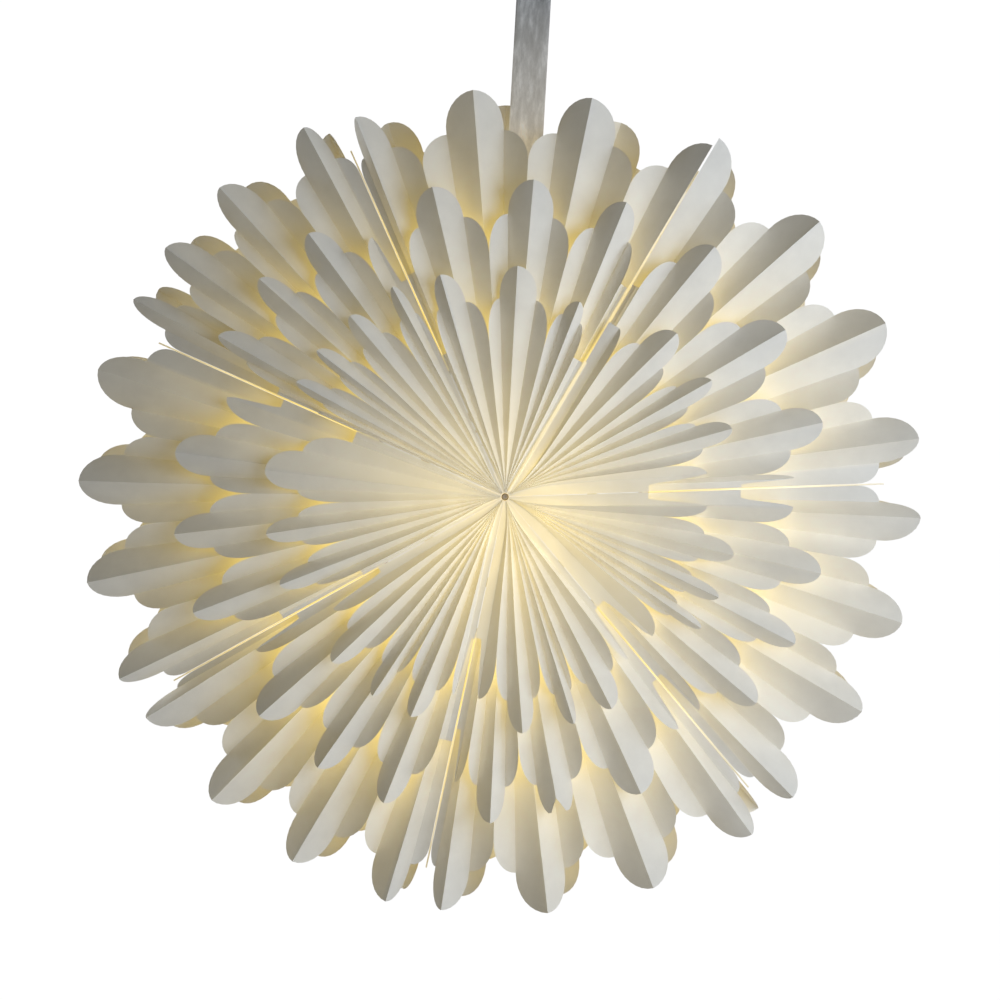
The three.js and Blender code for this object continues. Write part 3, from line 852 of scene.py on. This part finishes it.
def holder_body(bottom, top, flange):
    """Profile of the lamp holder: a threaded barrel with a flange, open below for the bulb."""
    profile = [(SOCKET_RADIUS, bottom), (13.3, bottom), (HOLDER_RADIUS, bottom + 0.8)]
    for i in range(GRIP_STEPS):
        height = lerp(bottom + 1.5, flange - 3.3, i / (GRIP_STEPS - 1))
        profile.append((13.55 + THREAD_DEPTH * (-1) ** i, height))
    profile += [(HOLDER_RADIUS, flange), (17.4, flange), (18, flange + 0.6), (18, flange + 2.4)]
    profile += [(17.4, flange + 3), (HOLDER_RADIUS, flange + 3.3), (HOLDER_RADIUS, top - 0.6)]
    return profile + [(13.4, top), (0.6, top), (0.6, top - 5), (SOCKET_RADIUS, top - 5)]


def holder_cap(bottom, top):
    """Profile of the holder's cap: a dome that ends in the cord's gland."""
    shoulder = top - 19
    profile = [(3.5, bottom), (13.4, bottom), (HOLDER_RADIUS, bottom + 0.6), (HOLDER_RADIUS, shoulder)]
    for i in range(1, DOME_STEPS + 1):
        angle = i / DOME_STEPS * math.pi / 2
        profile.append((10 + 4 * math.cos(angle), shoulder + 8 * math.sin(angle)))
    profile += [(6.5, top - 10.4), (6, top - 9.5), (6, top - 0.6)]
    return profile + [(5.4, top), (3.9, top), (3.5, top - 0.5)]


def clamp_ring(bottom, top):
    """Profile of the ring that screws up against the plate."""
    profile = [(14.4, bottom), (18.4, bottom), (19, bottom + 0.6), (19, top - 2.7)]
    return profile + [(20.5, top - 2.5), (21, top - 2), (21, top - 0.5), (20.6, top), (14.4, top)]


def holder_pieces():
    flange = local_top("lamp_plate") + 0.3
    for node, name, body, profile in (
        ("lamp_holder_body", "lamp_holder_shell", "star", lambda low, high: holder_body(low, high, flange)),
        ("lamp_holder_cap", "lamp_holder_dome", "star", holder_cap),
        ("clamp_ring", "clamp_ring_collar", "clamp", clamp_ring),
    ):
        piece = turned(name, profile(local_bottom(node), local_top(node)))
        finish_piece(piece, PLASTIC_LOOK, body, "holder_plastic", node)


def hub_piece():
    """The knot that gathers the front pleats, drawn in small at the middle."""
    low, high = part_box("front_hub")
    front, back = (low.y - CENTRE.y) / MM, (high.y - CENTRE.y) / MM
    profile = [(0, front + 3.2), (1.4, front + 3.4), (2.4, front + 4.4), (2.7, front + 6)]
    profile += [(1.9, back - 2), (2.6, back - 1), (2.6, back), (0, back)]
    finish_piece(turned("gathering_knot", profile, 32, "y"), KNOT_LOOK, "star", "glued_card", "front_hub")


bulb_pieces()
holder_pieces()
hub_piece()
for node, look in (
    ("back_collar", CARD_LOOK),
    ("core_ring", STEEL_LOOK),
    ("hanger_yoke", STEEL_LOOK),
    ("lamp_plate", PLATE_LOOK),
    ("screw_shell", BRASS_LOOK),
):
    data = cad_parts[node].data
    data.materials.clear()
    data.materials.append(look)


# ---- stage and light ----------------------------------------------------------------------------
def stage_material(name, colour, emission):
    material, _, shader = node_material(name)
    shader.inputs["Base Color"].default_value = (*colour, 1)
    shader.inputs["Roughness"].default_value = 0.9
    shader.inputs["Emission Color"].default_value = (1, 1, 1, 1)
    shader.inputs["Emission Strength"].default_value = emission
    return material


DOME_RADIUS = 12
FLOOR_RADIUS = 7
FLOOR_DROP = 1.1  # below the star's centre


def make_stage():
    bpy.ops.mesh.primitive_uv_sphere_add(segments=48, ring_count=24, radius=DOME_RADIUS, location=CENTRE)
    dome = bpy.context.object
    dome.name = "studio_dome"
    dome.data.materials.append(stage_material("dome_white", (0.0, 0.0, 0.0), 1.02))
    for flag in ("visible_diffuse", "visible_glossy", "visible_transmission", "visible_shadow"):
        setattr(dome, flag, False)
    place = (0, 0, CENTRE.z - FLOOR_DROP)
    bpy.ops.mesh.primitive_circle_add(vertices=96, radius=FLOOR_RADIUS, fill_type="NGON", location=place)
    floor = bpy.context.object
    floor.name = "studio_floor"
    floor.data.materials.append(stage_material("floor_pale", (0.86, 0.86, 0.85), 0.82))
    floor.visible_diffuse = False


WORLD_COLOUR, WORLD_STRENGTH = (0.82, 0.91, 1.0), 0.068
COOL, PALE = (0.88, 0.94, 1.0), (0.94, 0.97, 1.0)
# Name, direction from the star, distance, size, watts and colour of each soft light.
LIGHTS = (
    ("key", (0.90, -0.38, 0.20), 1.08, 0.7, 3.1, COOL),
    ("fill", (0.60, -0.80, 0.0), 1.15, 1.0, 4.4, COOL),
    ("bounce", (0.30, -0.42, -0.86), 1.2, 1.2, 3.4, PALE),
    ("back_key", (-0.86, 0.46, 0.2), 1.15, 0.8, 4.0, COOL),
    ("back_fill", (-0.5, 0.85, 0.1), 1.3, 1.0, 4.0, COOL),
)


def area_light(name, direction, distance, size, energy, colour):
    data = bpy.data.lights.new(name, "AREA")
    data.shape = "DISK"
    data.size = size
    data.energy = energy
    data.color = colour
    light = bpy.data.objects.new(name, data)
    bpy.context.scene.collection.objects.link(light)
    toward = Vector(direction).normalized()
    light.location = CENTRE + toward * distance
    light.rotation_mode = "QUATERNION"
    light.rotation_quaternion = toward.to_track_quat("Z", "Y")


def make_lights():
    bpy.context.scene.view_settings.view_transform = "Standard"
    world = bpy.data.worlds.new("studio")
    bpy.context.scene.world = world
    world.use_nodes = True
    background = world.node_tree.nodes["Background"]
    background.inputs["Color"].default_value = (*WORLD_COLOUR, 1)
    background.inputs["Strength"].default_value = WORLD_STRENGTH
    for light in LIGHTS:
        area_light(*light)


make_stage()
make_lights()
